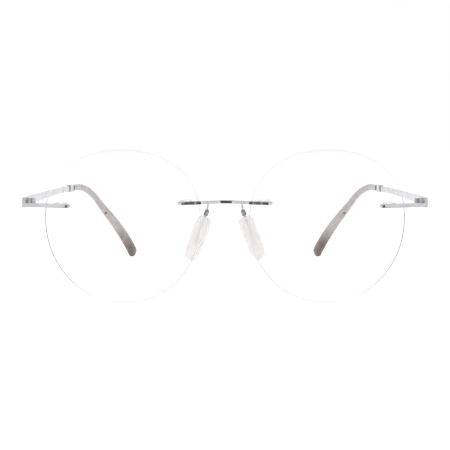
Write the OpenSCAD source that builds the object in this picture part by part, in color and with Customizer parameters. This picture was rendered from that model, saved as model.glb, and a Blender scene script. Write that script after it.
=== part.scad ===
// Round rimless eyeglasses: two drilled lenses joined by a slim bridge, silicone nose
// pads on wire arms, and folding temples whose plastic tips bend down behind the ear.
// Left and right are the wearer's. The glasses are open and level, on their lens bottoms.
// +X is the wearer's left, +Y points from the lenses back to the ears, +Z is up.

/* [Lenses] */
// Width of each lens at its middle
lens_w = 52.5; // [51:0.5:54]
// Height of each lens
lens_h = 53.1; // [51:0.1:54]
// How much wider the lens is above its middle than below, as a share of its width
lens_egg = 0.08; // [0:0.01:0.1]
// Squareness of the lens outline, where 2 is an oval
lens_square = 2.15; // [2:0.05:2.3]
// Thickness of each lens
lens_t = 2; // [1.8:0.1:2.2]
// Radius of the front surface of each lens
lens_radius = 130; // [110:5:180]
// Lean of the lens tops towards the front, in degrees
lens_tilt = 8; // [7:0.5:9]

/* [Bridge] */
// Gap between the two lenses at their widest level
bridge_gap = 16.6; // [16.2:0.2:17]
// Height of the bridge above the middle of the lenses
bridge_rise = 8.55; // [8.35:0.05:8.75]
// Height of the bridge bar, seen from the front
bar_h = 1.1; // [1:0.05:1.2]
// Depth of the bars, from front to back
bar_t = 0.9; // [0.8:0.05:1]

/* [Nose pads] */
// Length of each pad
pad_l = 16; // [14:0.5:16]
// Width of each pad
pad_w = 7.6; // [7:0.2:8]
// Thickness of each pad
pad_t = 2.2; // [2:0.1:2.4]
// Lean of the pads outwards, towards their lower ends, in degrees
pad_lean = 21; // [19:1:23]
// Turn of the pads outwards, towards their back edges, in degrees
pad_splay = 42; // [38:1:46]

/* [Temples] */
// Height of the temple strip at the hinge
strip_h_front = 2.5; // [2.3:0.1:2.6]
// Height of the temple strip at the tip
strip_h_back = 2.1; // [1.9:0.1:2.3]
// Thickness of the temple strip
strip_t = 0.9; // [0.8:0.05:1]
// Length of the strip, from the hinge to the plastic tip
strip_l = 72; // [71:0.5:73]
// Whole length of a temple along its curve
temple_l = 132; // [131.5:0.1:132.5]

/* [Hidden] */
$fn = 48;

metal = [0.80, 0.80, 0.83];
tortoise = [0.32, 0.20, 0.18];
clear = [0.90, 0.95, 1.00, 0.35];
silicone = [0.93, 0.90, 0.90];
tip_plastic = [0.70, 0.66, 0.65];
dark = [0.22, 0.21, 0.22];

fit_gap = 0.03;     // between pieces that are fixed together
past = 1;           // how far a cutting shape reaches past what it cuts
run_gap = 0.05;     // radial play of a turning pin
side_gap = 0.06;    // between turning faces

// A point of the lens outline at an angle, and half the lens's width at a height above its middle
function lens_point(a) =
    let (q = oval(a, lens_w, lens_h, lens_square)) [q.x * (1 + lens_egg * sin(a)), q.y];
function lens_half_width(v) = lens_point(asin(pow(2 * v / lens_h, lens_square / 2))).x;
lens_sides = 96;
lens_outline = [for (i = [0:lens_sides - 1]) lens_point(360 * i / lens_sides)];
rim_sag = lens_radius - sqrt(pow(lens_radius, 2) - pow(lens_h / 2, 2));
lens_x = (lens_w + bridge_gap) / 2;
lens_z = lens_h / 2 * cos(lens_tilt) - rim_sag * sin(lens_tilt);

// Each mount is a pair of pins through the lens, near its edge
mount_pitch = 3.2;      // between the two pins
nasal_inset = 3.9;      // from the lens edge to the middle of the pair beside the bridge
temporal_inset = 4.75;  // from the lens edge to the middle of the pair beside the hinge
pin_r = 0.45;
bushing_r = 0.8;
flange_w = 6.3;
flange_h = 2.2;
flange_t = 0.7;
bore_back = 6;          // depth behind the lens front that every bore in it reaches
plate_l = 8.2;          // length of the bar in front of the lens
plate_h = 1.2;
plate_gap = 0.1;        // between the bar and the lens
plate_front = -plate_gap - bar_t;
plate_shift = 0.8;      // from the middle of the pins to the middle of the plate
inlay_l = 6.7;
inlay_h = 0.86;
inlay_depth = 0.3;
inlay_shift = 1.25;     // from the middle of the pins to the middle of the inlay
center_inlay_l = 3.8;
center_inlay_x = 0.4;

endpiece_rise = 7.65;   // height of the endpiece bar above the middle of the lens
endpiece_h = 1.3;
endpiece_end = 3.65;    // from the middle of the pins to the round inner end of the bar
end_inlay_l = 0.9;     // small inlay near the inner end of the endpiece bar
end_inlay_x = -2.55;

nasal_u = nasal_inset - lens_half_width(bridge_rise);
temporal_u = lens_half_width(endpiece_rise) - temporal_inset;

// Hinge: a vertical barrel on the inner side of the temple
hinge_x = 66.3;
hinge_y = 9.6;
hinge_bottom = 33.1;
hinge_h = 2.4;
block_h = 3.3;          // height of the end blocks of the endpiece and the temple
barrel_r = 1.05;
screw_r = 0.45;
screw_head_r = 0.8;
screw_head_h = 0.3;
slot_w = 0.24;          // screwdriver slot
barrel_h = (hinge_h - 2 * side_gap) / 3;
leaf_in = 0.3;          // inner face of the leaves, from the hinge axis
leaf_out = 1.1;         // outer face of the leaves, from the hinge axis
block_out = 2.2;        // outer face of the end blocks, from the hinge axis
block_end = 0.9;        // butt joint of the end blocks, in front of the hinge axis
leaf_clear = 1.2;       // a leaf's edge beside the other leaf's barrel
leaf_l = 5.4;           // length of each leaf from the hinge axis
corner_l = 6.9;         // length of the endpiece's corner block

// Temple centre line: turn inwards and slope down, in degrees, at lengths from the hinge
temple_turn = [[0, 0], [6, 1], [14, 4.5], [24, 1.5], [42, 2.5], [72, 9], [104, 44], [137, 15]];
temple_slope = [[0, -0.7], [79, -0.7], [96, 45], [137, 46.5]];
temple_step = 1.5;
temple_start = [hinge_x + (leaf_out + block_out) / 2,
                hinge_y - block_end + side_gap,
                hinge_bottom + block_h - strip_h_front / 2];
function turn_at(s) = lookup(s, temple_turn);
function slope_at(s) = lookup(s, temple_slope);
function heading(s) = [-cos(slope_at(s)) * sin(turn_at(s)),
                       cos(slope_at(s)) * cos(turn_at(s)),
                       -sin(slope_at(s))];
function sideways(s) = [cos(turn_at(s)), sin(turn_at(s)), 0];
function upwards(s) = cross(sideways(s), heading(s));
temple_path = [for (s = 0, p = temple_start; s <= temple_l + temple_step;
                    p = p + temple_step * heading(s + temple_step / 2), s = s + temple_step) p];
function temple_point(s) =
    let (i = floor(s / temple_step), f = s / temple_step - i)
    temple_path[i] * (1 - f) + temple_path[i + 1] * f;
function strip_height(s) = strip_h_front + (strip_h_back - strip_h_front) * s / strip_l;

// Plastic tip: an oval sleeve that widens towards its round end
tip_gap = 1.7;          // from the end of the strip to the sleeve, filled by the ring
tip_start = strip_l + tip_gap;
tip_thick = [[tip_start, 2], [strip_l + 28, 2.2], [temple_l - 14, 3.1], [temple_l, 3.3]];
tip_height = [[tip_start, 2.6], [strip_l + 24, 2.8], [temple_l - 20, 4.2], [temple_l, 5.2]];
tip_round = 1.8;        // length of the rounded end
tip_corner = 2.4;       // roundness of the oval, where 2 is an ellipse
// Share of the full section left at a length along the rounded end
end_tip = 0.02;
function end_share(s) =
    let (t = max(0, s - (temple_l - tip_round)) / tip_round) sqrt(max(end_tip, 1 - t * t));
tip_rings = 23;
tip_stations = concat(
    [for (i = [0:tip_rings]) tip_start + (temple_l - tip_round - tip_start) * i / tip_rings],
    [for (a = [20, 40, 60, 75, 90]) temple_l - tip_round * (1 - sin(a))]);
core_r = 0.6;           // metal core inside the sleeve
core_gap = 0.1;
core_end = temple_l - 10;
tip_pin_at = 103;       // length from the hinge to the small pin in the sleeve
tip_pin_turn = 40;      // from straight under the sleeve towards its inner side, in degrees
tip_pin_r = 0.42;
tip_pin_l = 0.8;
tip_pin_proud = 0.12;   // how far the pin stands out of the sleeve

// Ferrule between the strip and the tip
ferrule_l = 3.6;
ferrule_h = 3;
ferrule_t = 1.9;
ferrule_play = 0.07;    // between the ferrule and the strip
ring_t = 1.3;
ring_w = 1.9;
ring_h = 2.4;

// Nose pads, each on a small fork at the end of a wire arm
pad_middle = [9.4, 9.8, 21.9];
pivot_up = 9.35;        // pad pivot above the middle of the pad
pivot_out = 0.45;       // pad pivot beside the middle of the pad, away from the nose
pivot_splay = 22;       // turn of the fork and its pin, in degrees
pad_pin_r = 0.25;
pad_pin_l = 1.6;
fork_l = 2;
fork_w = 1.5;
fork_t = 1.05;
fork_slot = 0.8;
eye_r = 0.5;
stem_l = 11;
stem_w = 0.66;
stem_t = 0.6;
arm_r = 0.42;

// The origin is under the middle of the whole object
front_y = -lens_radius * (1 - cos(lens_tilt));
back_y = max([for (s = tip_stations)
    temple_point(s).y + lookup(s, tip_height) / 2 * end_share(s) * upwards(s).y]);
origin_shift = [0, -(front_y + back_y) / 2, 0];

module place(side) {
    translate(origin_shift) {
        if (side > 0) children();
        else mirror([1, 0, 0]) children();
    }
}

// Turns a shape drawn in X and Z, and extruded along Z, to stand on the XZ plane
module upright() {
    rotate([90, 0, 0]) children();
}

module in_lens() {
    translate([lens_x, 0, lens_z]) rotate([lens_tilt, 0, 0]) children();
}

// A frame on the front surface of the lens: +Y goes straight into the lens
module on_lens(u, v) {
    in_lens()
        translate([0, lens_radius, 0])
            rotate([0, 0, asin(u / lens_radius)])
                rotate([-asin(v / lens_radius), 0, 0])
                    translate([0, -lens_radius, 0]) children();
}

module along_y(r, from, to) {
    translate([0, from, 0]) rotate([-90, 0, 0]) cylinder(h = to - from, r = r);
}

module pin_pair(r, from, to) {
    for (x = [-1, 1] * mount_pitch / 2)
        translate([x, 0, 0]) along_y(r, from, to);
}

// A bar with two round ends, lying along X, from one depth to another along Y
module round_bar(l, h, from, to) {
    translate([-(l - h) / 2, from, -h / 2]) cube([l - h, to - from, h]);
    for (x = [-1, 1] * (l - h) / 2)
        translate([x, 0, 0]) along_y(h / 2, from, to);
}

module lens() {
    color(clear) difference() {
        in_lens() intersection() {
            upright() linear_extrude(20, center = true) polygon(lens_outline);
            translate([0, lens_radius, 0]) difference() {
                sphere(lens_radius, $fn = 240);
                sphere(lens_radius - lens_t, $fn = 240);
            }
        }
        on_lens(nasal_u, bridge_rise) pin_pair(bushing_r + fit_gap, -past, bore_back);
        on_lens(temporal_u, endpiece_rise) pin_pair(bushing_r + fit_gap, -past, bore_back);
    }
}

module bushing() {
    color(clear) difference() {
        union() {
            round_bar(flange_w, flange_h, lens_t + plate_gap, lens_t + plate_gap + flange_t);
            pin_pair(bushing_r, 0, lens_t + plate_gap + fit_gap);
        }
        pin_pair(pin_r + fit_gap, -past, lens_t + flange_t + past);
    }
}

module mount_pins() {
    pin_pair(pin_r, plate_front + bar_t / 2, lens_t + flange_t);
}

// An inlay in the front of a plate, or with a gap the pocket that holds it
module inlay_pocket(x, l, gap) {
    front = gap > 0 ? past : 0;
    translate([x, 0, 0])
        round_bar(l + 2 * gap, inlay_h + 2 * gap,
                  plate_front - front, plate_front + inlay_depth + gap);
}

module place_nasal(side) {
    place(side) on_lens(nasal_u, bridge_rise) children();
}

module place_temporal(side) {
    place(side) on_lens(temporal_u, endpiece_rise) children();
}

// Bridge bar between the lenses: it dips back and arches up to its middle
bar_half = 9.4;
bar_middle_y = 1.72;
bar_bow = 0.0098;
bar_arch = 0.35;
bar_over_pins = 0.28;   // ends of the bar above the pins, because the plates lean back
bar_end_z = lens_z + bridge_rise * cos(lens_tilt) + bar_over_pins;
bar_steps = 12;
bar_xs = [for (i = [-bar_steps:bar_steps]) bar_half * i / bar_steps];
function bar_y(x) = bar_middle_y - bar_bow * x * x;
function bar_z(x) = bar_end_z + bar_arch * (1 - pow(x / bar_half, 2));

// Outline of the bar around its line through points, with a given width across it
module bar_outline(line, width) {
    last = len(line) - 1;
    polygon(concat([for (p = line) p - [0, width / 2]],
                   [for (i = [last:-1:0]) line[i] + [0, width / 2]]));
}

module bridge_bar() {
    intersection() {
        translate([0, 0, bar_end_z - bar_h])
            linear_extrude(3 * bar_h) bar_outline([for (x = bar_xs) [x, bar_y(x)]], bar_t);
        upright() linear_extrude(2 * bar_half, center = true)
            bar_outline([for (x = bar_xs) [x, bar_z(x)]], bar_h);
    }
}

// The inlay in the middle of the bar, or with a gap its pocket
module center_inlay_shape(gap) {
    front = gap > 0 ? past : 0;
    translate([center_inlay_x, bar_y(0) - bar_t / 2, bar_z(0)])
        translate([-center_inlay_l / 2 - gap, -front, -inlay_h / 2 - gap])
            cube([center_inlay_l + 2 * gap, inlay_depth + front + gap, inlay_h + 2 * gap]);
}

module bridge() {
    color(metal) difference() {
        union() {
            place(1) bridge_bar();
            for (side = [-1, 1]) place_nasal(side) {
                translate([-plate_shift, 0, 0])
                    round_bar(plate_l, plate_h, plate_front, -plate_gap);
                mount_pins();
            }
        }
        place(1) center_inlay_shape(fit_gap);
        for (side = [-1, 1]) place_nasal(side) inlay_pocket(-inlay_shift, inlay_l, fit_gap);
    }
}

module bridge_inlay(side) {
    color(tortoise) place_nasal(side) inlay_pocket(-inlay_shift, inlay_l, 0);
}

module bridge_inlay_center() {
    color(tortoise) place(1) center_inlay_shape(0);
}

// The middle of a pad, leaning and turned outwards by an angle: its length is along Z
module at_pad(splay) {
    translate(pad_middle) rotate([0, -pad_lean, 0]) rotate([0, 0, -splay]) children();
}

// The pivot above a pad: the pin lies along Y
module at_pad_pivot() {
    at_pad(pivot_splay) translate([pivot_out, 0, pivot_up]) children();
}

// A wire through points, with a ball slightly wider than the wire at each of them
joint_swell = 1.05;
module wire(points, r) {
    for (i = [0:len(points) - 2]) {
        step = points[i + 1] - points[i];
        translate(points[i])
            rotate([0, acos(step.z / norm(step)), atan2(step.y, step.x)])
                cylinder(h = norm(step), r = r, $fn = 32);
    }
    for (p = points)
        translate(p) sphere(joint_swell * r, $fn = 32);
}

arm_x = 5.6;            // where the arm is brazed to the back of the bridge bar
arm_bite = 0.02;        // how far it goes into the bar
arm_drop = 0.1;         // how far it starts below the middle of the bar
arm_sink = 0.2;         // how far its end goes into the fork
pad_top = pad_middle + (pivot_up + fork_l / 2) * [-sin(pad_lean), 0, cos(pad_lean)]
    + pivot_out * [cos(pad_lean), 0, sin(pad_lean)];
arm_route = [
    [arm_x, bar_y(arm_x) + bar_t / 2 + arm_r - arm_bite, bar_z(arm_x) - arm_drop],
    [5.7, 4.6, 34.4],
    [5.8, 7.3, 33.8],
    [6, 9.1, 32.8],
    pad_top - [0, 0, arm_sink]
];

module pad_arm(side) {
    color(metal) place(side) difference() {
        union() {
            wire(arm_route, arm_r);
            at_pad_pivot()
                translate([-fork_t / 2, -fork_w / 2, -fork_l / 2]) cube([fork_t, fork_w, fork_l]);
        }
        at_pad_pivot() {
            translate([-fork_t, -fork_slot / 2, -fork_l])
                cube([2 * fork_t, fork_slot, fork_l + eye_r + 2 * run_gap]);
            along_y(pad_pin_r + fit_gap, -fork_w, fork_w);
        }
    }
}

module pad_pin(side) {
    color(metal) place(side) at_pad_pivot() along_y(pad_pin_r, -pad_pin_l / 2, pad_pin_l / 2);
}

// Stem of the core, from just below the pin down into the pad
stem_top = 0.3;
module pad_stem(gap) {
    translate([-stem_t / 2 - gap, -stem_w / 2 - gap, -stem_l - gap])
        cube([stem_t + 2 * gap, stem_w + 2 * gap, stem_l + gap - stem_top]);
}

module pad_core(side) {
    color(silicone) place(side) at_pad_pivot() difference() {
        union() {
            along_y(eye_r, -stem_w / 2, stem_w / 2);
            pad_stem(0);
        }
        along_y(pad_pin_r + run_gap, -stem_w, stem_w);
    }
}

// A blunt pad outline, wider above its middle: width along X and length along Y
pad_sides = 48;
pad_power = 0.5;
pad_egg = 0.14;
crown_r = 7;
function rounded(x) = sign(x) * pow(abs(x), pad_power);
pad_outline = [for (i = [0:pad_sides - 1])
    let (a = 360 * i / pad_sides)
    [pad_w / 2 * rounded(cos(a)) * (1 + pad_egg * sin(a)), pad_l / 2 * rounded(sin(a))]];

module nose_pad(side) {
    color(silicone) place(side) difference() {
        at_pad(pad_splay) intersection() {
            rotate([90, 0, 90]) linear_extrude(pad_t, center = true) polygon(pad_outline);
            translate([crown_r - pad_t / 2, 0, 0])
                cylinder(h = 2 * pad_l, r = crown_r, center = true, $fn = 120);
        }
        at_pad_pivot() pad_stem(fit_gap);
    }
}

// Endpiece: a straight bar over the lens, and a corner block that turns back to the hinge
bar_reach = 12;         // from the middle of the pin pair to the corner
module endpiece(side) {
    color(metal) {
        place_temporal(side) difference() {
            union() {
                round_bar(2 * endpiece_end, endpiece_h, plate_front, -plate_gap);
                translate([0, plate_front, -endpiece_h / 2]) cube([bar_reach, bar_t, endpiece_h]);
                mount_pins();
            }
            inlay_pocket(end_inlay_x, end_inlay_l, fit_gap);
        }
        place(side)
            translate([hinge_x + leaf_out, hinge_y - block_end - corner_l, hinge_bottom])
                cube([block_out - leaf_out, corner_l, block_h]);
    }
}

module endpiece_inlay(side) {
    color(tortoise) place_temporal(side) inlay_pocket(end_inlay_x, end_inlay_l, 0);
}

// One hinge leaf with barrels at the given levels, each joined to the leaf by a web; way is
// -1 to the front and 1 to the back
web_bite = 0.1;         // how far a web goes into its leaf, and stays inside its outer face
module hinge_leaf(levels, way, bore_r) {
    translate([hinge_x, hinge_y, hinge_bottom]) difference() {
        union() {
            translate([leaf_in, way > 0 ? leaf_clear : -leaf_l, 0])
                cube([leaf_out - leaf_in, leaf_l - leaf_clear, hinge_h]);
            for (level = levels) translate([0, 0, level * (barrel_h + side_gap)]) {
                cylinder(h = barrel_h, r = barrel_r);
                translate([leaf_in, way > 0 ? 0 : -leaf_clear - web_bite, 0])
                    cube([leaf_out - leaf_in - web_bite, leaf_clear + web_bite, barrel_h]);
            }
        }
        translate([0, 0, -past]) cylinder(h = hinge_h + 2 * past, r = bore_r);
    }
}

module front_hinge_leaf(side) {
    color(metal) place(side) hinge_leaf([0, 2], -1, screw_r + fit_gap);
}

module temple_hinge_leaf(side) {
    color(metal) place(side) hinge_leaf([1], 1, screw_r + run_gap);
}

module hinge_screw(side) {
    color(metal) place(side) translate([hinge_x, hinge_y, hinge_bottom]) difference() {
        union() {
            cylinder(h = hinge_h + screw_head_h / 2, r = screw_r);
            translate([0, 0, hinge_h + fit_gap]) cylinder(h = screw_head_h, r = screw_head_r);
        }
        translate([-past, -slot_w / 2, hinge_h + screw_head_h / 2])
            cube([2 * past, slot_w, screw_head_h]);
    }
}

// A frame on the temple's centre line: +Y along the temple, +Z up
module at_temple(s) {
    translate(temple_point(s))
        rotate([0, 0, turn_at(s)]) rotate([-slope_at(s), 0, 0]) children();
}

// Oval ring of points around the temple's centre line
ring_points = 20;
function oval(a, w, h, power) =
    [w / 2 * sign(cos(a)) * pow(abs(cos(a)), 2 / power),
     h / 2 * sign(sin(a)) * pow(abs(sin(a)), 2 / power)];
function temple_ring(s, w, h, power) =
    [for (i = [0:ring_points - 1])
        let (q = oval(360 * i / ring_points, w, h, power))
        temple_point(s) + q.x * sideways(s) + q.y * upwards(s)];

// A closed tube through rings of points
module skin(rings) {
    n = len(rings[0]);
    last = len(rings) - 1;
    sides = [for (i = [0:last - 1], j = [0:n - 1])
        let (k = (j + 1) % n)
        each [[i * n + j, i * n + n + k, i * n + k], [i * n + j, i * n + n + j, i * n + n + k]]];
    caps = [[for (j = [0:n - 1]) j], [for (j = [n - 1:-1:0]) last * n + j]];
    polyhedron([for (ring = rings) each ring], concat(sides, caps));
}

core_parts = 18;
function core_rings(from, to, r) =
    [for (i = [0:core_parts]) temple_ring(from + (to - from) * i / core_parts, 2 * r, 2 * r, 2)];

// The strip is where its plan and its side view, each drawn as a thick outline, meet
strip_parts = 24;
strip_stations = [for (i = [0:strip_parts]) strip_l * i / strip_parts];
module strip() {
    outer = [for (s = strip_stations) temple_point(s) + strip_t / 2 * sideways(s)];
    inner = [for (s = strip_stations) temple_point(s) - strip_t / 2 * sideways(s)];
    top = [for (s = strip_stations) temple_point(s) + strip_height(s) / 2 * [0, 0, 1]];
    bottom = [for (s = strip_stations) temple_point(s) - strip_height(s) / 2 * [0, 0, 1]];
    last = strip_parts;
    intersection() {
        linear_extrude(2 * lens_h)
            polygon([for (p = outer) [p.x, p.y], for (i = [last:-1:0]) [inner[i].x, inner[i].y]]);
        rotate([90, 0, 90]) linear_extrude(2 * hinge_x)
            polygon([for (p = top) [p.y, p.z], for (i = [last:-1:0]) [bottom[i].y, bottom[i].z]]);
    }
}

module temple(side) {
    color(metal) place(side) {
        strip();
        translate([hinge_x + leaf_out, temple_start.y, hinge_bottom])
            cube([block_out - leaf_out, leaf_l + block_end, block_h]);
    }
}

// Wire core of the plastic tip, brazed to the end of the strip
module tip_core(side) {
    color(metal) place(side) skin(core_rings(strip_l + fit_gap, core_end, core_r));
}

module temple_ferrule(side) {
    middle = strip_l - ferrule_l / 2;
    color(metal) place(side) at_temple(middle) difference() {
        cube([ferrule_t, ferrule_l, ferrule_h], center = true);
        cube([strip_t + 2 * ferrule_play, 2 * ferrule_l, strip_height(middle) + 2 * ferrule_play],
             center = true);
    }
}

module tip_ring(side) {
    color(dark) place(side) at_temple(strip_l + tip_gap / 2) upright() difference() {
        linear_extrude(ring_t, center = true)
            polygon([for (i = [0:ring_points - 1])
                oval(360 * i / ring_points, ring_w, ring_h, tip_corner)]);
        cylinder(h = 2 * ring_t, r = core_r + core_gap, center = true);
    }
}

module temple_tip(side) {
    channel = core_rings(tip_start, core_end + 1, core_r + core_gap);
    last = len(channel) - 1;
    color(tip_plastic) place(side) skin(concat(
        [for (i = [last:-1:0]) channel[i]],
        [for (s = tip_stations)
            temple_ring(s, lookup(s, tip_thick) * end_share(s),
                        lookup(s, tip_height) * end_share(s), tip_corner)]));
}

module tip_pin(side) {
    across = 2 * sin(tip_pin_turn) / lookup(tip_pin_at, tip_thick);
    down = 2 * cos(tip_pin_turn) / lookup(tip_pin_at, tip_height);
    surface = pow(pow(across, tip_corner) + pow(down, tip_corner), -1 / tip_corner);
    color(dark) place(side) at_temple(tip_pin_at) rotate([0, tip_pin_turn, 0])
        translate([0, 0, -surface - tip_pin_proud]) cylinder(h = tip_pin_l, r = tip_pin_r);
}

place(1) lens();  // lens_left
place(-1) lens();  // lens_right
bridge();
bridge_inlay(1);  // bridge_inlay_left
bridge_inlay_center();
bridge_inlay(-1);  // bridge_inlay_right
endpiece_inlay(1);  // endpiece_inlay_left
endpiece_inlay(-1);  // endpiece_inlay_right
place_nasal(1) bushing();  // nasal_bushing_left
place_nasal(-1) bushing();  // nasal_bushing_right
place_temporal(1) bushing();  // temporal_bushing_left
place_temporal(-1) bushing();  // temporal_bushing_right
pad_arm(1);  // pad_arm_left
pad_arm(-1);  // pad_arm_right
pad_pin(1);  // pad_pin_left
pad_pin(-1);  // pad_pin_right
pad_core(1);  // pad_core_left
pad_core(-1);  // pad_core_right
nose_pad(1);  // nose_pad_left
nose_pad(-1);  // nose_pad_right
endpiece(1);  // endpiece_left
endpiece(-1);  // endpiece_right
front_hinge_leaf(1);  // front_hinge_leaf_left
front_hinge_leaf(-1);  // front_hinge_leaf_right
temple_hinge_leaf(1);  // temple_hinge_leaf_left
temple_hinge_leaf(-1);  // temple_hinge_leaf_right
hinge_screw(1);  // hinge_screw_left
hinge_screw(-1);  // hinge_screw_right
temple(1);  // temple_left
temple(-1);  // temple_right
temple_ferrule(1);  // temple_ferrule_left
temple_ferrule(-1);  // temple_ferrule_right
tip_ring(1);  // tip_ring_left
tip_ring(-1);  // tip_ring_right
tip_core(1);  // tip_core_left
tip_core(-1);  // tip_core_right
temple_tip(1);  // temple_tip_left
temple_tip(-1);  // temple_tip_right
tip_pin(1);  // tip_pin_left
tip_pin(-1);  // tip_pin_right
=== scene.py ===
"""Looks for round rimless eyeglasses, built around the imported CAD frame.

The lenses, the silicone nose pads and the plastic temple tips are made here as smooth meshes.
The rest stays as CAD made it, with its edges softened, and everything gets a node material.
Meshes are worked out in millimetres from the fronts of the lenses, then moved to the frame.
"""
import math

import bmesh
import bpy
from mathutils import Matrix, Vector


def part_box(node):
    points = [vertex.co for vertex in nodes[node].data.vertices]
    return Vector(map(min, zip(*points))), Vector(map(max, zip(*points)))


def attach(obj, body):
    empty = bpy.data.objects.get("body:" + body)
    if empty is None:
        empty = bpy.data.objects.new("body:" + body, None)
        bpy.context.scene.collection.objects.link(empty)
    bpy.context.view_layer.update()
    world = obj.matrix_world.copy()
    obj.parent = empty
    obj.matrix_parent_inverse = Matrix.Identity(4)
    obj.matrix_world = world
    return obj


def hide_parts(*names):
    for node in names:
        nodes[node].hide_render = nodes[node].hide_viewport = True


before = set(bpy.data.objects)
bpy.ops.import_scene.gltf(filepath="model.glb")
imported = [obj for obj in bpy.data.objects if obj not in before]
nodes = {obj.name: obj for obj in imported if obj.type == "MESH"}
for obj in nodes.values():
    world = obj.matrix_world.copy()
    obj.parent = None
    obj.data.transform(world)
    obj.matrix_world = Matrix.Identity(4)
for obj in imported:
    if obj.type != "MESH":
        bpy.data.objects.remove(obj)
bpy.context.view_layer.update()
MM = 0.001
SIDES = {"left": 1, "right": -1}

# ---------------------------------------------------------------- sizes, as in the CAD, in mm

LENS_W = 52.5
LENS_H = 53.1
LENS_EGG = 0.08
LENS_SQUARE = 2.15
LENS_T = 2
LENS_R = 130
LENS_TILT = math.radians(8)
LENS_X = (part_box("lens_left")[0].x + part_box("lens_left")[1].x) / 2 / MM
LENS_SAG = LENS_R - math.sqrt(LENS_R ** 2 - (LENS_H / 2) ** 2)
LENS_Z = LENS_H / 2 * math.cos(LENS_TILT) - LENS_SAG * math.sin(LENS_TILT)
FRONT_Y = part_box("lens_left")[0].y / MM + LENS_R * (1 - math.cos(LENS_TILT))
SAFETY_BEVEL = 0.3
BRIDGE_RISE = 8.55
ENDPIECE_RISE = 7.65
NASAL_INSET = 3.9
TEMPORAL_INSET = 4.75
MOUNT_PITCH = 3.2
BUSHING_R = 0.8
FIT_GAP = 0.03
HOLE_R = BUSHING_R + FIT_GAP

STRIP_L = 72
STRIP_H = 2.5
BLOCK_H = 3.3
BLOCK_MIDDLE = 1.65
TEMPLE_L = 132
TIP_GAP = 1.7
TIP_START = STRIP_L + TIP_GAP
TIP_ROUND = 1.8
TIP_CORNER = 2.4
TEMPLE_TURN = [(0, 0), (6, 1), (14, 4.5), (24, 1.5), (42, 2.5), (72, 9), (104, 44), (137, 15)]
TEMPLE_SLOPE = [(0, -0.7), (79, -0.7), (96, 45), (137, 46.5)]
TIP_THICK = [(TIP_START, 2), (STRIP_L + 28, 2.2), (TEMPLE_L - 14, 3.1), (TEMPLE_L, 3.3)]
TIP_HEIGHT = [(TIP_START, 2.6), (STRIP_L + 24, 2.8), (TEMPLE_L - 20, 4.2), (TEMPLE_L, 5.2)]
CORE_R = 0.6
CORE_GAP = 0.1
CORE_END = TEMPLE_L - 10

PAD_L = 16
PAD_W = 7.6
PAD_T = 2.2
PAD_EGG = 0.14
PAD_POWER = 0.5
PAD_CROWN_R = 7
PAD_LEAN = math.radians(21)
PAD_SPLAY = math.radians(42)
PAD_MIDDLE = Vector((9.4, 9.8, 21.9))

# ---------------------------------------------------------------- shapes finer than in the CAD

LENS_SIDES = 192
LENS_LEVELS = 20
HOLE_SIDES = 32
TIP_SIDES = 40
TIP_LEVELS = 90
TIP_LIP = 0.25
CHANNEL_LEVELS = 40
CHANNEL_SPARE = 1
PAD_SIDES = 64
PAD_LEVELS = 48
PAD_CORNER = 3


def full_turn(count):
    """Evenly spaced angles all the way round."""
    return [2 * math.pi * i / count for i in range(count)]


def spread(start, end, steps):
    """Evenly spaced values from start to end."""
    return [start + (end - start) * i / steps for i in range(steps + 1)]


def lookup(x, table):
    """The value at x of a line through the table's points."""
    for (x0, y0), (x1, y1) in zip(table, table[1:]):
        if x <= x1:
            return y0 + (y1 - y0) * max(0, x - x0) / (x1 - x0)
    return table[-1][1]


def oval(a, width, height, power):
    """A point at angle a of a squared oval, where power 2 is a plain one."""
    c, s = math.cos(a), math.sin(a)
    return (width / 2 * math.copysign(abs(c) ** (2 / power), c),
            height / 2 * math.copysign(abs(s) ** (2 / power), s))


# ---------------------------------------------------------------- mesh helpers

def mirrored(points, side):
    """Points given for the left side, moved to the right one where side is -1."""
    return [Vector((side * p.x, p.y, p.z)) for p in points]


def to_row(p):
    """From the glasses' own millimetres, with Y from the lens fronts, to the row frame."""
    return Vector((p.x, p.y + FRONT_Y, p.z)) * MM


def skin(name, rings, side=1):
    """A closed smooth mesh through rings of points, with a fan at each end."""
    mesh = bmesh.new()
    rows = [[mesh.verts.new(to_row(p)) for p in mirrored(ring, side)] for ring in rings]
    for low, high in zip(rows, rows[1:]):
        for i in range(len(low)):
            j = (i + 1) % len(low)
            mesh.faces.new((low[i], low[j], high[j], high[i]))
    for row in (rows[0], rows[-1]):
        middle = mesh.verts.new(sum((v.co for v in row), Vector()) / len(row))
        for i in range(len(row)):
            mesh.faces.new((row[i], row[(i + 1) % len(row)], middle))
    bmesh.ops.recalc_face_normals(mesh, faces=mesh.faces)
    return to_object(name, mesh)


def to_object(name, mesh):
    """A smooth object in the scene from a mesh in the making."""
    data = bpy.data.meshes.new(name)
    mesh.to_mesh(data)
    mesh.free()
    data.shade_smooth()
    piece = bpy.data.objects.new(name, data)
    bpy.context.scene.collection.objects.link(piece)
    return piece


def apply_modifiers(piece):
    """Puts what the modifiers make into the mesh itself."""
    graph = bpy.context.evaluated_depsgraph_get()
    data = bpy.data.meshes.new_from_object(piece.evaluated_get(graph))
    piece.modifiers.clear()
    piece.data = data


def soften_edges(node, width):
    """Rounds the sharp edges of a CAD node, and shades it by its flat faces."""
    piece = nodes[node]
    weld = piece.modifiers.new("weld", "WELD")
    weld.merge_threshold = 1e-6
    bevel = piece.modifiers.new("bevel", "BEVEL")
    bevel.width = width * MM
    bevel.segments = 2
    bevel.limit_method = "ANGLE"
    bevel.angle_limit = math.radians(35)
    bevel.use_clamp_overlap = True
    piece.modifiers.new("normals", "WEIGHTED_NORMAL")


# ---------------------------------------------------------------- node helpers

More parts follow.
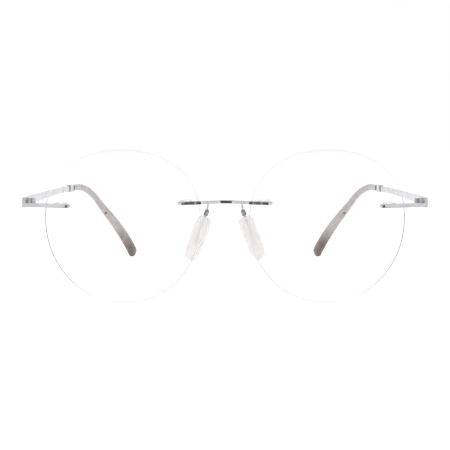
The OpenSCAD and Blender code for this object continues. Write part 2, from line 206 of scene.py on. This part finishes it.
class Nodes:
    """A short way to build one node material."""

    def __init__(self, name):
        self.material = bpy.data.materials.new(name)
        self.start(self.material, "ShaderNodeOutputMaterial", "Object")

    def start(self, owner, output, coordinates):
        owner.use_nodes = True
        self.tree = owner.node_tree
        self.tree.nodes.clear()
        self.out = self.add(output)
        self.place = self.add("ShaderNodeTexCoord").outputs[coordinates]

    def add(self, kind, **values):
        node = self.tree.nodes.new(kind)
        for key, value in values.items():
            setattr(node, key, value)
        return node

    def link(self, a, b):
        self.tree.links.new(a, b)

    def put(self, value, socket):
        """Sets a socket to a number or a colour, or links another node to it."""
        if isinstance(value, (int, float)):
            socket.default_value = value
        elif isinstance(value, tuple):
            socket.default_value = (*value, 1)
        else:
            self.link(value, socket)

    def stretched(self, scale):
        """Object coordinates scaled by three numbers."""
        mapping = self.add("ShaderNodeMapping")
        mapping.inputs["Scale"].default_value = scale
        self.link(self.place, mapping.inputs["Vector"])
        return mapping.outputs["Vector"]

    def noise(self, scale, detail=2, where=None):
        node = self.add("ShaderNodeTexNoise")
        node.inputs["Scale"].default_value = scale
        node.inputs["Detail"].default_value = detail
        self.link(where or self.place, node.inputs["Vector"])
        return node.outputs["Fac"]

    def ramp(self, value, stops):
        """A colour ramp: stops are pairs of place and colour, or of place and grey."""
        node = self.add("ShaderNodeValToRGB")
        points = node.color_ramp.elements
        while len(points) < len(stops):
            points.new(0.5)
        for point, (place, colour) in zip(points, stops):
            point.position = place
            point.color = (*colour, 1) if isinstance(colour, tuple) else (colour,) * 3 + (1,)
        self.link(value, node.inputs["Fac"])
        return node.outputs["Color"]

    def remap(self, value, low, high, to_low=0, to_high=1):
        node = self.add("ShaderNodeMapRange")
        node.inputs["From Min"].default_value = low
        node.inputs["From Max"].default_value = high
        node.inputs["To Min"].default_value = to_low
        node.inputs["To Max"].default_value = to_high
        self.link(value, node.inputs["Value"])
        return node.outputs["Result"]

    def axis(self, name):
        node = self.add("ShaderNodeSeparateXYZ")
        self.link(self.place, node.inputs["Vector"])
        return node.outputs[name]

    def mix(self, share, a, b):
        node = self.add("ShaderNodeMix", data_type="RGBA")
        for value, name in ((share, "Factor"), (a, "A"), (b, "B")):
            self.put(value, next(s for s in node.inputs if s.name == name and s.enabled))
        return next(s for s in node.outputs if s.enabled)

    def math(self, operation, value, other=0):
        node = self.add("ShaderNodeMath", operation=operation)
        self.put(value, node.inputs[0])
        self.put(other, node.inputs[1])
        return node.outputs["Value"]

    def mix_shaders(self, share, a, b):
        node = self.add("ShaderNodeMixShader")
        self.put(share, node.inputs["Fac"])
        self.link(a, node.inputs[1])
        self.link(b, node.inputs[2])
        return node.outputs["Shader"]

    def plain(self, kind, colour, output="BSDF"):
        """A simple shader of one colour."""
        node = self.add(kind)
        self.put(colour, node.inputs["Color"])
        return node.outputs[output]

    def bump(self, height, strength, distance):
        node = self.add("ShaderNodeBump")
        node.inputs["Strength"].default_value = strength
        node.inputs["Distance"].default_value = distance * MM
        self.link(height, node.inputs["Height"])
        return node.outputs["Normal"]

    def principled(self, links, **values):
        """The surface shader: values are set on its sockets, links come from nodes."""
        shader = self.add("ShaderNodeBsdfPrincipled")
        for key, value in values.items():
            self.put(value, shader.inputs[key.replace("_", " ").title()])
        for key, value in links.items():
            self.link(value, shader.inputs[key])
        self.link(shader.outputs["BSDF"], self.out.inputs["Surface"])
        return shader


def scatter(shader, share, radius, scale):
    """Lets light soak into a surface: radius has one number for each of red, green and blue."""
    shader.inputs["Subsurface Weight"].default_value = share
    shader.inputs["Subsurface Radius"].default_value = radius
    shader.inputs["Subsurface Scale"].default_value = scale * MM


# ---------------------------------------------------------------- materials

def metal(name, colour, rough, spots):
    """Satin metal: fine brushing along Y, uneven polish and faint stains.

    spots is how bright the stains are, as a share of the colour.
    """
    m = Nodes(name)
    grain = m.noise(1, 6, m.stretched((9000, 300, 9000)))
    cloud = m.noise(260, 3)
    tint = m.mix(m.remap(cloud, 0.35, 0.75), colour, tuple(c * spots for c in colour))
    m.principled(
        {"Base Color": tint,
         "Roughness": m.remap(cloud, 0.3, 0.7, rough * 0.8, rough * 1.25),
         "Normal": m.bump(grain, 0.25, 0.01)},
        metallic=1.0)
    return m.material


def arm_metal():
    """Metal of the pad arms: a bright wire, and a darker fork at its low end."""
    m = Nodes("arm_metal")
    cloud = m.noise(400, 3)
    wire_end, fork_top = 32.0 * MM, 31.7 * MM
    fork = m.remap(m.axis("Z"), wire_end, fork_top)
    m.principled(
        {"Base Color": m.mix(fork, (0.66, 0.66, 0.69), (0.24, 0.24, 0.25)),
         "Roughness": m.remap(cloud, 0.3, 0.7, 0.26, 0.4),
         "Normal": m.bump(cloud, 0.1, 0.01)},
        metallic=1.0)
    return m.material


def tortoise():
    """Glossy mottled brown inlay with a few pale flecks."""
    m = Nodes("tortoise_inlay")
    blotch = m.noise(900, 3, m.stretched((1, 1, 0.6)))
    colour = m.ramp(blotch, [(0.3, (0.012, 0.006, 0.006)), (0.47, (0.03, 0.014, 0.013)),
                             (0.58, (0.10, 0.055, 0.055)), (0.7, (0.35, 0.27, 0.28))])
    m.principled(
        {"Base Color": colour, "Normal": m.bump(blotch, 0.15, 0.02)},
        roughness=0.2, coat_weight=0.6, coat_roughness=0.08)
    return m.material


def clear(name, tint, haze, haze_colour):
    """Clear plastic or glass seen straight through, with its gloss and a trace of haze."""
    m = Nodes(name)
    smear = m.noise(90, 3)
    gloss = m.add("ShaderNodeBsdfGlossy")
    m.link(m.remap(smear, 0.4, 0.8, 0.02, 0.06), gloss.inputs["Roughness"])
    m.link(m.bump(smear, 0.02, 0.05), gloss.inputs["Normal"])
    grazing = m.math("POWER", m.add("ShaderNodeLayerWeight").outputs["Facing"], 5)
    shine = m.remap(grazing, 0, 1, 0.015, 1)
    through = m.plain("ShaderNodeBsdfTransparent", tint)
    glass = m.mix_shaders(shine, through, gloss.outputs["BSDF"])
    milk = m.plain("ShaderNodeBsdfDiffuse", haze_colour)
    m.link(m.mix_shaders(haze, glass, milk), m.out.inputs["Surface"])
    return m.material


def ground_edge():
    """The ground rim of a lens: a nearly clear frosted band."""
    m = Nodes("lens_ground_edge")
    grit = m.noise(5000, 4)
    m.principled(
        {"Base Color": m.mix(grit, (0.90, 0.90, 0.91), (0.98, 0.98, 0.99)),
         "Normal": m.bump(grit, 0.3, 0.01),
         "Roughness": m.remap(grit, 0.3, 0.7, 0.35, 0.6)},
        alpha=0.35)
    return m.material


def edge_bevel():
    """The fine bevel at the front of a lens rim, its grey painted shade: dark at the outer side,
    pale above.
    """
    m = Nodes("lens_edge_painted_shade")
    grit = m.noise(5000, 4)
    outermost, grey_top, pale_from = 70 * MM, 30 * MM, 38 * MM
    # Painted shade: the bevel's grey comes from how far out and how high each point is, darkest
    # at the outer side and pale above.
    across = m.remap(m.math("ABSOLUTE", m.axis("X")), 0, outermost)
    painted_side_shade = m.ramp(across, [(0.14, 0.72), (0.2, 0.45), (0.43, 0.7), (0.62, 0.85), (0.78, 0.06)])
    shade = m.mix(m.remap(m.axis("Z"), grey_top, pale_from), painted_side_shade, (0.88, 0.88, 0.89))
    m.principled(
        {"Base Color": shade, "Normal": m.bump(grit, 0.3, 0.01),
         "Roughness": m.remap(grit, 0.3, 0.7, 0.35, 0.6)},
        alpha=0.9)
    return m.material


def silicone():
    """Frosted silicone, faintly pink, a little see-through."""
    m = Nodes("silicone")
    frost = m.noise(2500, 4)
    cloud = m.noise(300, 2)
    tint = m.mix(m.remap(cloud, 0.3, 0.7), (0.92, 0.87, 0.87), (0.95, 0.91, 0.90))
    shader = m.principled(
        {"Base Color": tint, "Normal": m.bump(frost, 0.2, 0.01),
         "Roughness": m.remap(frost, 0.3, 0.7, 0.38, 0.55)},
        alpha=0.66)
    scatter(shader, 0.5, (1.0, 0.6, 0.5), 2)
    return m.material


def tip_plastic():
    """Translucent grey plastic that turns mottled brown towards the low end of the tip."""
    m = Nodes("tip_plastic")
    cloud = m.noise(260, 3)
    fine = m.noise(1200, 2)
    brown = m.ramp(cloud, [(0.30, (0.060, 0.032, 0.023)), (0.52, (0.115, 0.067, 0.050)),
                           (0.72, (0.23, 0.155, 0.125))])
    grey = m.ramp(cloud, [(0.3, (0.405, 0.355, 0.350)), (0.7, (0.525, 0.475, 0.465))])
    all_grey, all_brown = 17.4 * MM, 9.6 * MM
    colour = m.mix(m.remap(m.axis("Z"), all_grey, all_brown), grey, brown)
    shader = m.principled(
        {"Base Color": colour, "Normal": m.bump(fine, 0.06, 0.01),
         "Roughness": m.remap(fine, 0.3, 0.7, 0.16, 0.26)},
        coat_weight=0.5, coat_roughness=0.08)
    scatter(shader, 0.2, (1.0, 0.8, 0.7), 1)
    return m.material


def dark_trim():
    """Nearly black plastic of the rings and pins of the tips."""
    m = Nodes("dark_trim")
    speck = m.noise(2500, 3)
    m.principled(
        {"Base Color": m.ramp(speck, [(0.3, 0.02), (0.7, 0.05)]),
         "Normal": m.bump(speck, 0.2, 0.01),
         "Roughness": m.remap(speck, 0.3, 0.7, 0.35, 0.5)})
    return m.material


# ---------------------------------------------------------------- lenses

def lens_outline(a, share=1.0):
    """A point of the lens outline, in the lens's own plane, at angle a."""
    x, y = oval(a, LENS_W, LENS_H, LENS_SQUARE)
    return share * x * (1 + LENS_EGG * math.sin(a)), share * y


def half_width(v):
    """Half the width of a lens at a height above its middle."""
    return lens_outline(math.asin((2 * v / LENS_H) ** (LENS_SQUARE / 2)))[0]


def dish(u, v, radius):
    """Depth of a round surface behind its front point."""
    return radius - math.sqrt(radius ** 2 - u ** 2 - v ** 2)


def in_lens(p):
    """From the lens's own frame to the glasses' frame."""
    turned = Matrix.Rotation(LENS_TILT, 3, "X") @ p
    return turned + Vector((LENS_X, 0, LENS_Z))


def lens_rings():
    """Rings of a lens: out over its front, across its rim and in over its back."""
    shares = [i / LENS_LEVELS for i in range(1, LENS_LEVELS)]
    shares.append(1 - SAFETY_BEVEL / (LENS_W / 2))

    def ring(share, radius, depth):
        flat = [lens_outline(a, share) for a in full_turn(LENS_SIDES)]
        return [in_lens(Vector((u, dish(u, v, radius) + depth, v))) for u, v in flat]

    front = [ring(s, LENS_R, 0) for s in shares]
    back = [ring(s, LENS_R - LENS_T, LENS_T) for s in reversed(shares)]
    rim = [ring(1, LENS_R, SAFETY_BEVEL), ring(1, LENS_R - LENS_T, LENS_T - SAFETY_BEVEL)]
    return front + rim + back


def on_lens(u, v):
    """The frame on the lens front at u and v: +Y goes into the lens."""
    middle = Matrix.Translation((0, LENS_R, 0))
    turn = Matrix.Rotation(math.asin(u / LENS_R), 4, "Z")
    nod = Matrix.Rotation(-math.asin(v / LENS_R), 4, "X")
    return middle @ turn @ nod @ middle.inverted()


def hole_cutter(place, offset, side):
    """A rod through the lens, offset sideways from a place on its front."""
    def ring(depth):
        circle = [Vector((offset + HOLE_R * math.cos(a), depth, HOLE_R * math.sin(a)))
                  for a in full_turn(HOLE_SIDES)]
        return [in_lens(place @ p) for p in circle]

    return skin("cutter", [ring(-LENS_T), ring(3 * LENS_T)], side)


def drill(piece, side):
    """Cuts the four mount holes through a lens."""
    places = [on_lens(NASAL_INSET - half_width(BRIDGE_RISE), BRIDGE_RISE),
              on_lens(half_width(ENDPIECE_RISE) - TEMPORAL_INSET, ENDPIECE_RISE)]
    for place in places:
        for offset in (-MOUNT_PITCH / 2, MOUNT_PITCH / 2):
            cutter = hole_cutter(place, offset, side)
            cut = piece.modifiers.new("hole", "BOOLEAN")
            cut.object = cutter
            cut.solver = "EXACT"
            apply_modifiers(piece)
            bpy.data.objects.remove(cutter)


def rim_part(face, middle):
    """0 for the clear faces of a lens, 1 for its ground band and 2 for its front bevel."""
    clear_radius = 0.9 * LENS_H / 2 * MM
    band_limit, front_limit = 0.35, -0.9
    backward = Matrix.Rotation(LENS_TILT, 3, "X") @ Vector((0, 1, 0))
    facing_back = face.normal.dot(backward)
    if (face.center - middle).length < clear_radius:
        return 0
    if abs(facing_back) < band_limit:
        return 1
    return 2 if front_limit < facing_back < 0 else 0


def make_lens(name, side, materials):
    """A drilled lens, with one material for each result of rim_part."""
    piece = skin(f"lens_glass_{name}", lens_rings(), side)
    drill(piece, side)
    piece.data.materials.clear()
    for material in materials:
        piece.data.materials.append(material)
    middle = to_row(Vector((side * LENS_X, 0, LENS_Z)))
    for face in piece.data.polygons:
        face.material_index = rim_part(face, middle)
    piece.data.set_sharp_from_angle(angle=math.radians(30))
    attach(piece, "front")
    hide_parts(f"lens_{name}")


# ---------------------------------------------------------------- temple tips

def temple_heading(s):
    """Direction of the temple's centre line at a length from its start."""
    turn = math.radians(lookup(s, TEMPLE_TURN))
    slope = math.radians(lookup(s, TEMPLE_SLOPE))
    return Vector((-math.cos(slope) * math.sin(turn),
                   math.cos(slope) * math.cos(turn), -math.sin(slope)))


def temple_frames(start, stations):
    """A point, and the sideways and upward directions, of the centre line at each station."""
    longest_step = 0.5
    place, s, found = start.copy(), 0.0, []
    for target in stations:
        while s < target:
            step = min(longest_step, target - s)
            place = place + step * temple_heading(s + step / 2)
            s += step
        turn = math.radians(lookup(s, TEMPLE_TURN))
        sideways = Vector((math.cos(turn), math.sin(turn), 0))
        found.append((place.copy(), sideways, sideways.cross(temple_heading(s))))
    return found


def temple_rings(start, stations, section):
    """Rings across the temple's centre line: section gives their width, height and power."""
    rings = []
    for s, (p, side, up) in zip(stations, temple_frames(start, stations)):
        flat = [oval(a, *section(s)) for a in full_turn(TIP_SIDES)]
        rings.append([p + x * side + z * up for x, z in flat])
    return rings


def channel_section(s):
    """The hole for the wire core is the same all along."""
    width = 2 * (CORE_R + CORE_GAP)
    return width, width, 2


def tip_section(s):
    """Outside of the tip, which is rounded off over its last stretch."""
    nearly_closed = 0.02
    t = max(0, s - (TEMPLE_L - TIP_ROUND)) / TIP_ROUND
    share = math.sqrt(max(nearly_closed, 1 - t * t))
    return lookup(s, TIP_THICK) * share, lookup(s, TIP_HEIGHT) * share, TIP_CORNER


def lip_section(s):
    """The front face of the tip is a little smaller, so that its edge is rounded."""
    share = 0.9
    width, height, power = tip_section(s)
    return share * width, share * height, power


def tip_rings(start):
    """Rings of the tip: the channel for the wire core from its end, then the outside."""
    channel = spread(TIP_START, CORE_END + CHANNEL_SPARE, CHANNEL_LEVELS)
    body = spread(TIP_START + TIP_LIP, TEMPLE_L - TIP_ROUND, TIP_LEVELS)
    nose = [TEMPLE_L - TIP_ROUND * (1 - math.sin(math.radians(a))) for a in range(8, 90, 8)]
    inside = temple_rings(start, channel, channel_section)
    lip = temple_rings(start, [TIP_START], lip_section)
    outside = temple_rings(start, body + nose, tip_section)
    return inside[::-1] + lip + outside


def temple_start():
    """Where the temple's centre line begins, found from the CAD hinge."""
    screw_low, screw_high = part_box("hinge_screw_left")
    hinge_x = (screw_low.x + screw_high.x) / 2 / MM
    block_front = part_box("temple_left")[0].y / MM - FRONT_Y
    block_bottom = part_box("temple_hinge_leaf_left")[0].z / MM
    return Vector((hinge_x + BLOCK_MIDDLE, block_front, block_bottom + BLOCK_H - STRIP_H / 2))


def make_tip(name, side, plastic):
    """The plastic sleeve over the wire core at the end of a temple."""
    piece = skin(f"tip_sleeve_{name}", tip_rings(temple_start()), side)
    piece.data.materials.append(plastic)
    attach(piece, f"temple_{name}")
    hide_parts(f"temple_tip_{name}")


# ---------------------------------------------------------------- nose pads

def pad_frame():
    """Place and turn of the left pad: its length is up, and its back faces the lens."""
    lean = Matrix.Rotation(-PAD_LEAN, 4, "Y")
    splay = Matrix.Rotation(-PAD_SPLAY, 4, "Z")
    return Matrix.Translation(PAD_MIDDLE) @ lean @ splay


def pad_section(thick, width):
    """Outline of a pad across its length: flat towards the lens, crowned towards the skin."""
    thinnest = 0.15
    points = []
    for a in full_turn(PAD_SIDES):
        x, y = oval(a, thick, width, PAD_CORNER)
        if x < 0:
            crown = PAD_CROWN_R - math.sqrt(PAD_CROWN_R ** 2 - y * y)
            x *= max(thinnest, 1 - crown / (PAD_T / 2))
        points.append((x, y))
    return points


def pad_rings():
    """Rings of a silicone pad from its bottom to its top, in the glasses' frame."""
    nearly_quarter = 0.999 * math.pi / 2
    thinning = 0.6
    place = pad_frame()
    rings = []
    for a in spread(-nearly_quarter, nearly_quarter, PAD_LEVELS):
        up = math.copysign(abs(math.sin(a)) ** PAD_POWER, a) * PAD_L / 2
        full = math.cos(a) ** PAD_POWER
        width = full * PAD_W * (1 + PAD_EGG * math.sin(a))
        section = pad_section(PAD_T * full ** thinning, width)
        rings.append([place @ Vector((x, y, up)) for x, y in section])
    return rings


def make_pad(name, side, material):
    """A soft silicone pad, which rocks with its core."""
    piece = skin(f"silicone_pad_{name}", pad_rings(), side)
    piece.data.materials.append(material)
    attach(piece, f"pad_{name}")
    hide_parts(f"nose_pad_{name}")


# ---------------------------------------------------------------- the object

def stem(name):
    """A node's name without its side."""
    for side in ("_left", "_right", "_center"):
        name = name.removesuffix(side)
    return name


def dress(stems, material, bevel=0.0):
    """Gives a material, and soft edges, to the CAD nodes with these names."""
    for name, piece in nodes.items():
        if stem(name) in stems:
            piece.data.materials.clear()
            piece.data.materials.append(material)
            if bevel:
                soften_edges(name, bevel)


satin = metal("satin_metal", (0.70, 0.70, 0.73), 0.26, 0.88)
bridge_metal = metal("bridge_metal", (0.64, 0.64, 0.66), 0.26, 0.88)
endpiece_metal = metal("endpiece_metal", (0.56, 0.56, 0.585), 0.26, 0.85)
hinge = metal("hinge_metal", (0.62, 0.62, 0.65), 0.3, 0.75)
dress(["temple"], satin, 0.12)
dress(["bridge"], bridge_metal, 0.12)
dress(["endpiece"], endpiece_metal, 0.12)
dress(["temple_ferrule"], satin, 0.12)
dress(["tip_core"], satin)
dress(["pad_arm"], arm_metal())
dress(["front_hinge_leaf", "temple_hinge_leaf"], hinge, 0.06)
dress(["hinge_screw", "pad_pin"], hinge, 0.04)
dress(["bridge_inlay", "endpiece_inlay"], tortoise(), 0.06)
bushing = clear("clear_bushing", (0.97, 0.97, 0.98), 0.07, (0.82, 0.81, 0.84))
dress(["nasal_bushing", "temporal_bushing"], bushing, 0.08)
dress(["pad_core"], clear("pad_core", (0.85, 0.83, 0.83), 0.55, (0.62, 0.60, 0.61)), 0.05)
dress(["tip_ring", "tip_pin"], dark_trim(), 0.05)

lens_glass = clear("lens_glass", (0.995, 0.998, 0.998), 0.0, (0.8, 0.8, 0.8))
lens_materials = [lens_glass, ground_edge(), edge_bevel()]
pad_silicone = silicone()
sleeve = tip_plastic()
for name, side in SIDES.items():
    make_lens(name, side, lens_materials)
    make_tip(name, side, sleeve)
    make_pad(name, side, pad_silicone)


# ---------------------------------------------------------------- floor, light and camera

def make_floor():
    """A wide pale floor that is white where nothing shades it."""
    mesh = bmesh.new()
    bmesh.ops.create_grid(mesh, x_segments=1, y_segments=1, size=4)
    floor = to_object("floor", mesh)
    floor.location.z = -0.1 * MM
    m = Nodes("floor")
    cloud = m.noise(3, 2)
    tint = m.mix(cloud, (0.80, 0.80, 0.80), (0.82, 0.82, 0.82))
    m.principled({"Base Color": tint}, roughness=0.9, emission_strength=0.3,
                 emission_color=(1.0, 1.0, 1.0))
    floor.data.materials.append(m.material)


def make_light(name, place, size, power):
    """A square lamp that faces the middle of the floor."""
    data = bpy.data.lights.new(name, "AREA")
    data.size = size
    data.energy = power
    lamp = bpy.data.objects.new(name, data)
    lamp.location = place
    lamp.rotation_euler = (-lamp.location).to_track_quat("-Z", "Y").to_euler()
    bpy.context.scene.collection.objects.link(lamp)


class WorldNodes(Nodes):
    """A short way to build the nodes of the world around the scene."""

    def __init__(self, world):
        self.start(world, "ShaderNodeOutputWorld", "Generated")


def make_world():
    """White for the camera; what lights the object is brighter above and dimmer in front."""
    world = bpy.data.worlds.new("studio")
    bpy.context.scene.world = world
    w = WorldNodes(world)
    above = w.remap(w.axis("Z"), -0.1, 1, 0.86, 1.05)
    behind = w.remap(w.axis("Y"), -1, 0.1, 0.72, 1)
    lit = w.add("ShaderNodeBackground")
    w.put((1, 1, 1), lit.inputs["Color"])
    w.link(w.math("MULTIPLY", above, behind), lit.inputs["Strength"])
    white = w.plain("ShaderNodeBackground", (1, 1, 1), "Background")
    seen = w.add("ShaderNodeLightPath").outputs["Is Camera Ray"]
    both = w.mix_shaders(seen, lit.outputs["Background"], white)
    w.link(both, w.out.inputs["Surface"])


def make_camera():
    """In front of the lenses and a little above them, at the photo's angle."""
    distance, rise, aim_rise = 350, 29.85, 1.4
    focal_length = 83.5
    data = bpy.data.cameras.new("camera")
    data.sensor_width = 36
    data.lens = focal_length
    camera = bpy.data.objects.new("camera", data)
    aim = to_row(Vector((0, 0, LENS_Z + aim_rise)))
    camera.location = to_row(Vector((0, -distance, LENS_Z + rise)))
    camera.rotation_euler = (aim - camera.location).to_track_quat("-Z", "Y").to_euler()
    bpy.context.scene.collection.objects.link(camera)
    bpy.context.scene.camera = camera


make_floor()
make_world()
make_light("key", (-0.5, -0.3, 0.9), 0.8, 1.5)
make_light("fill", (0.6, 0.3, 0.8), 0.8, 1)
make_camera()
bpy.context.scene.view_settings.view_transform = "Standard"
